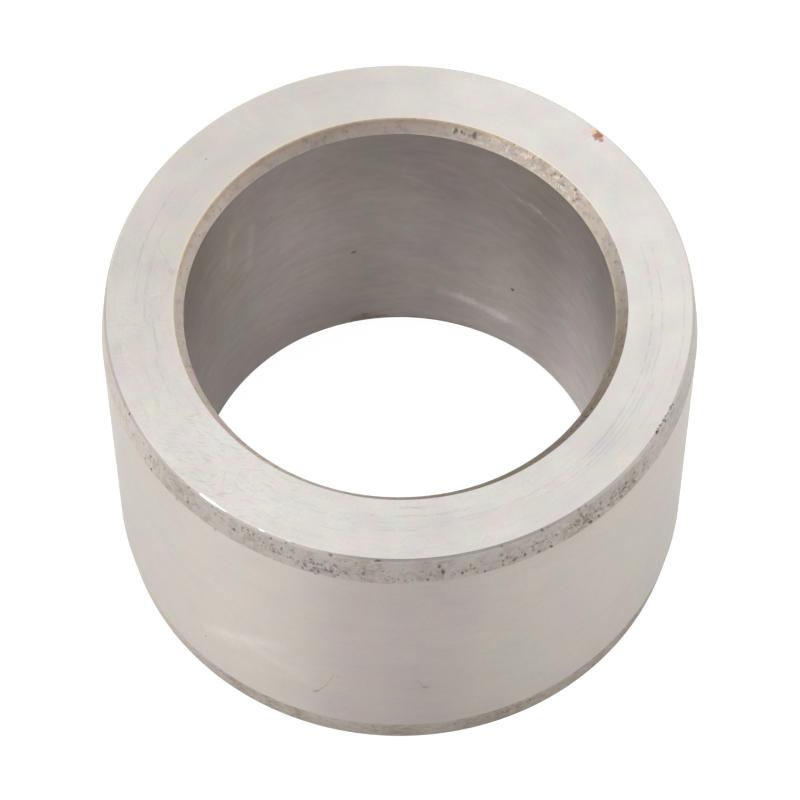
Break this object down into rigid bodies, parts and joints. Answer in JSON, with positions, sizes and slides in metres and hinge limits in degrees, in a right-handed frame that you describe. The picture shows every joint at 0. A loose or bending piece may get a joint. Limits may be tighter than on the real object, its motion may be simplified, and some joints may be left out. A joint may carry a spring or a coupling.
{
  "type": "spacer sleeve",
  "caption": "Short thick-walled plain steel sleeve with ground ends and outside, shallow outside lead-ins and a chamfered bore, worn and lightly pitted.",
  "frame": {"origin": "centre of the lower end face, on the sleeve's axis", "axes": "+Z along the bore's axis, up from the end that the sleeve stands on"},
  "size_m": [0.072, 0.072, 0.045],
  "materials": {
    "steel": "ground on the ends and the outside, honed and darker in the bore, pitted and browned on the lead-ins and chamfers"
  },
  "bodies": {
    "root": {"spacer_sleeve": "steel"}
  },
  "joints": []
}
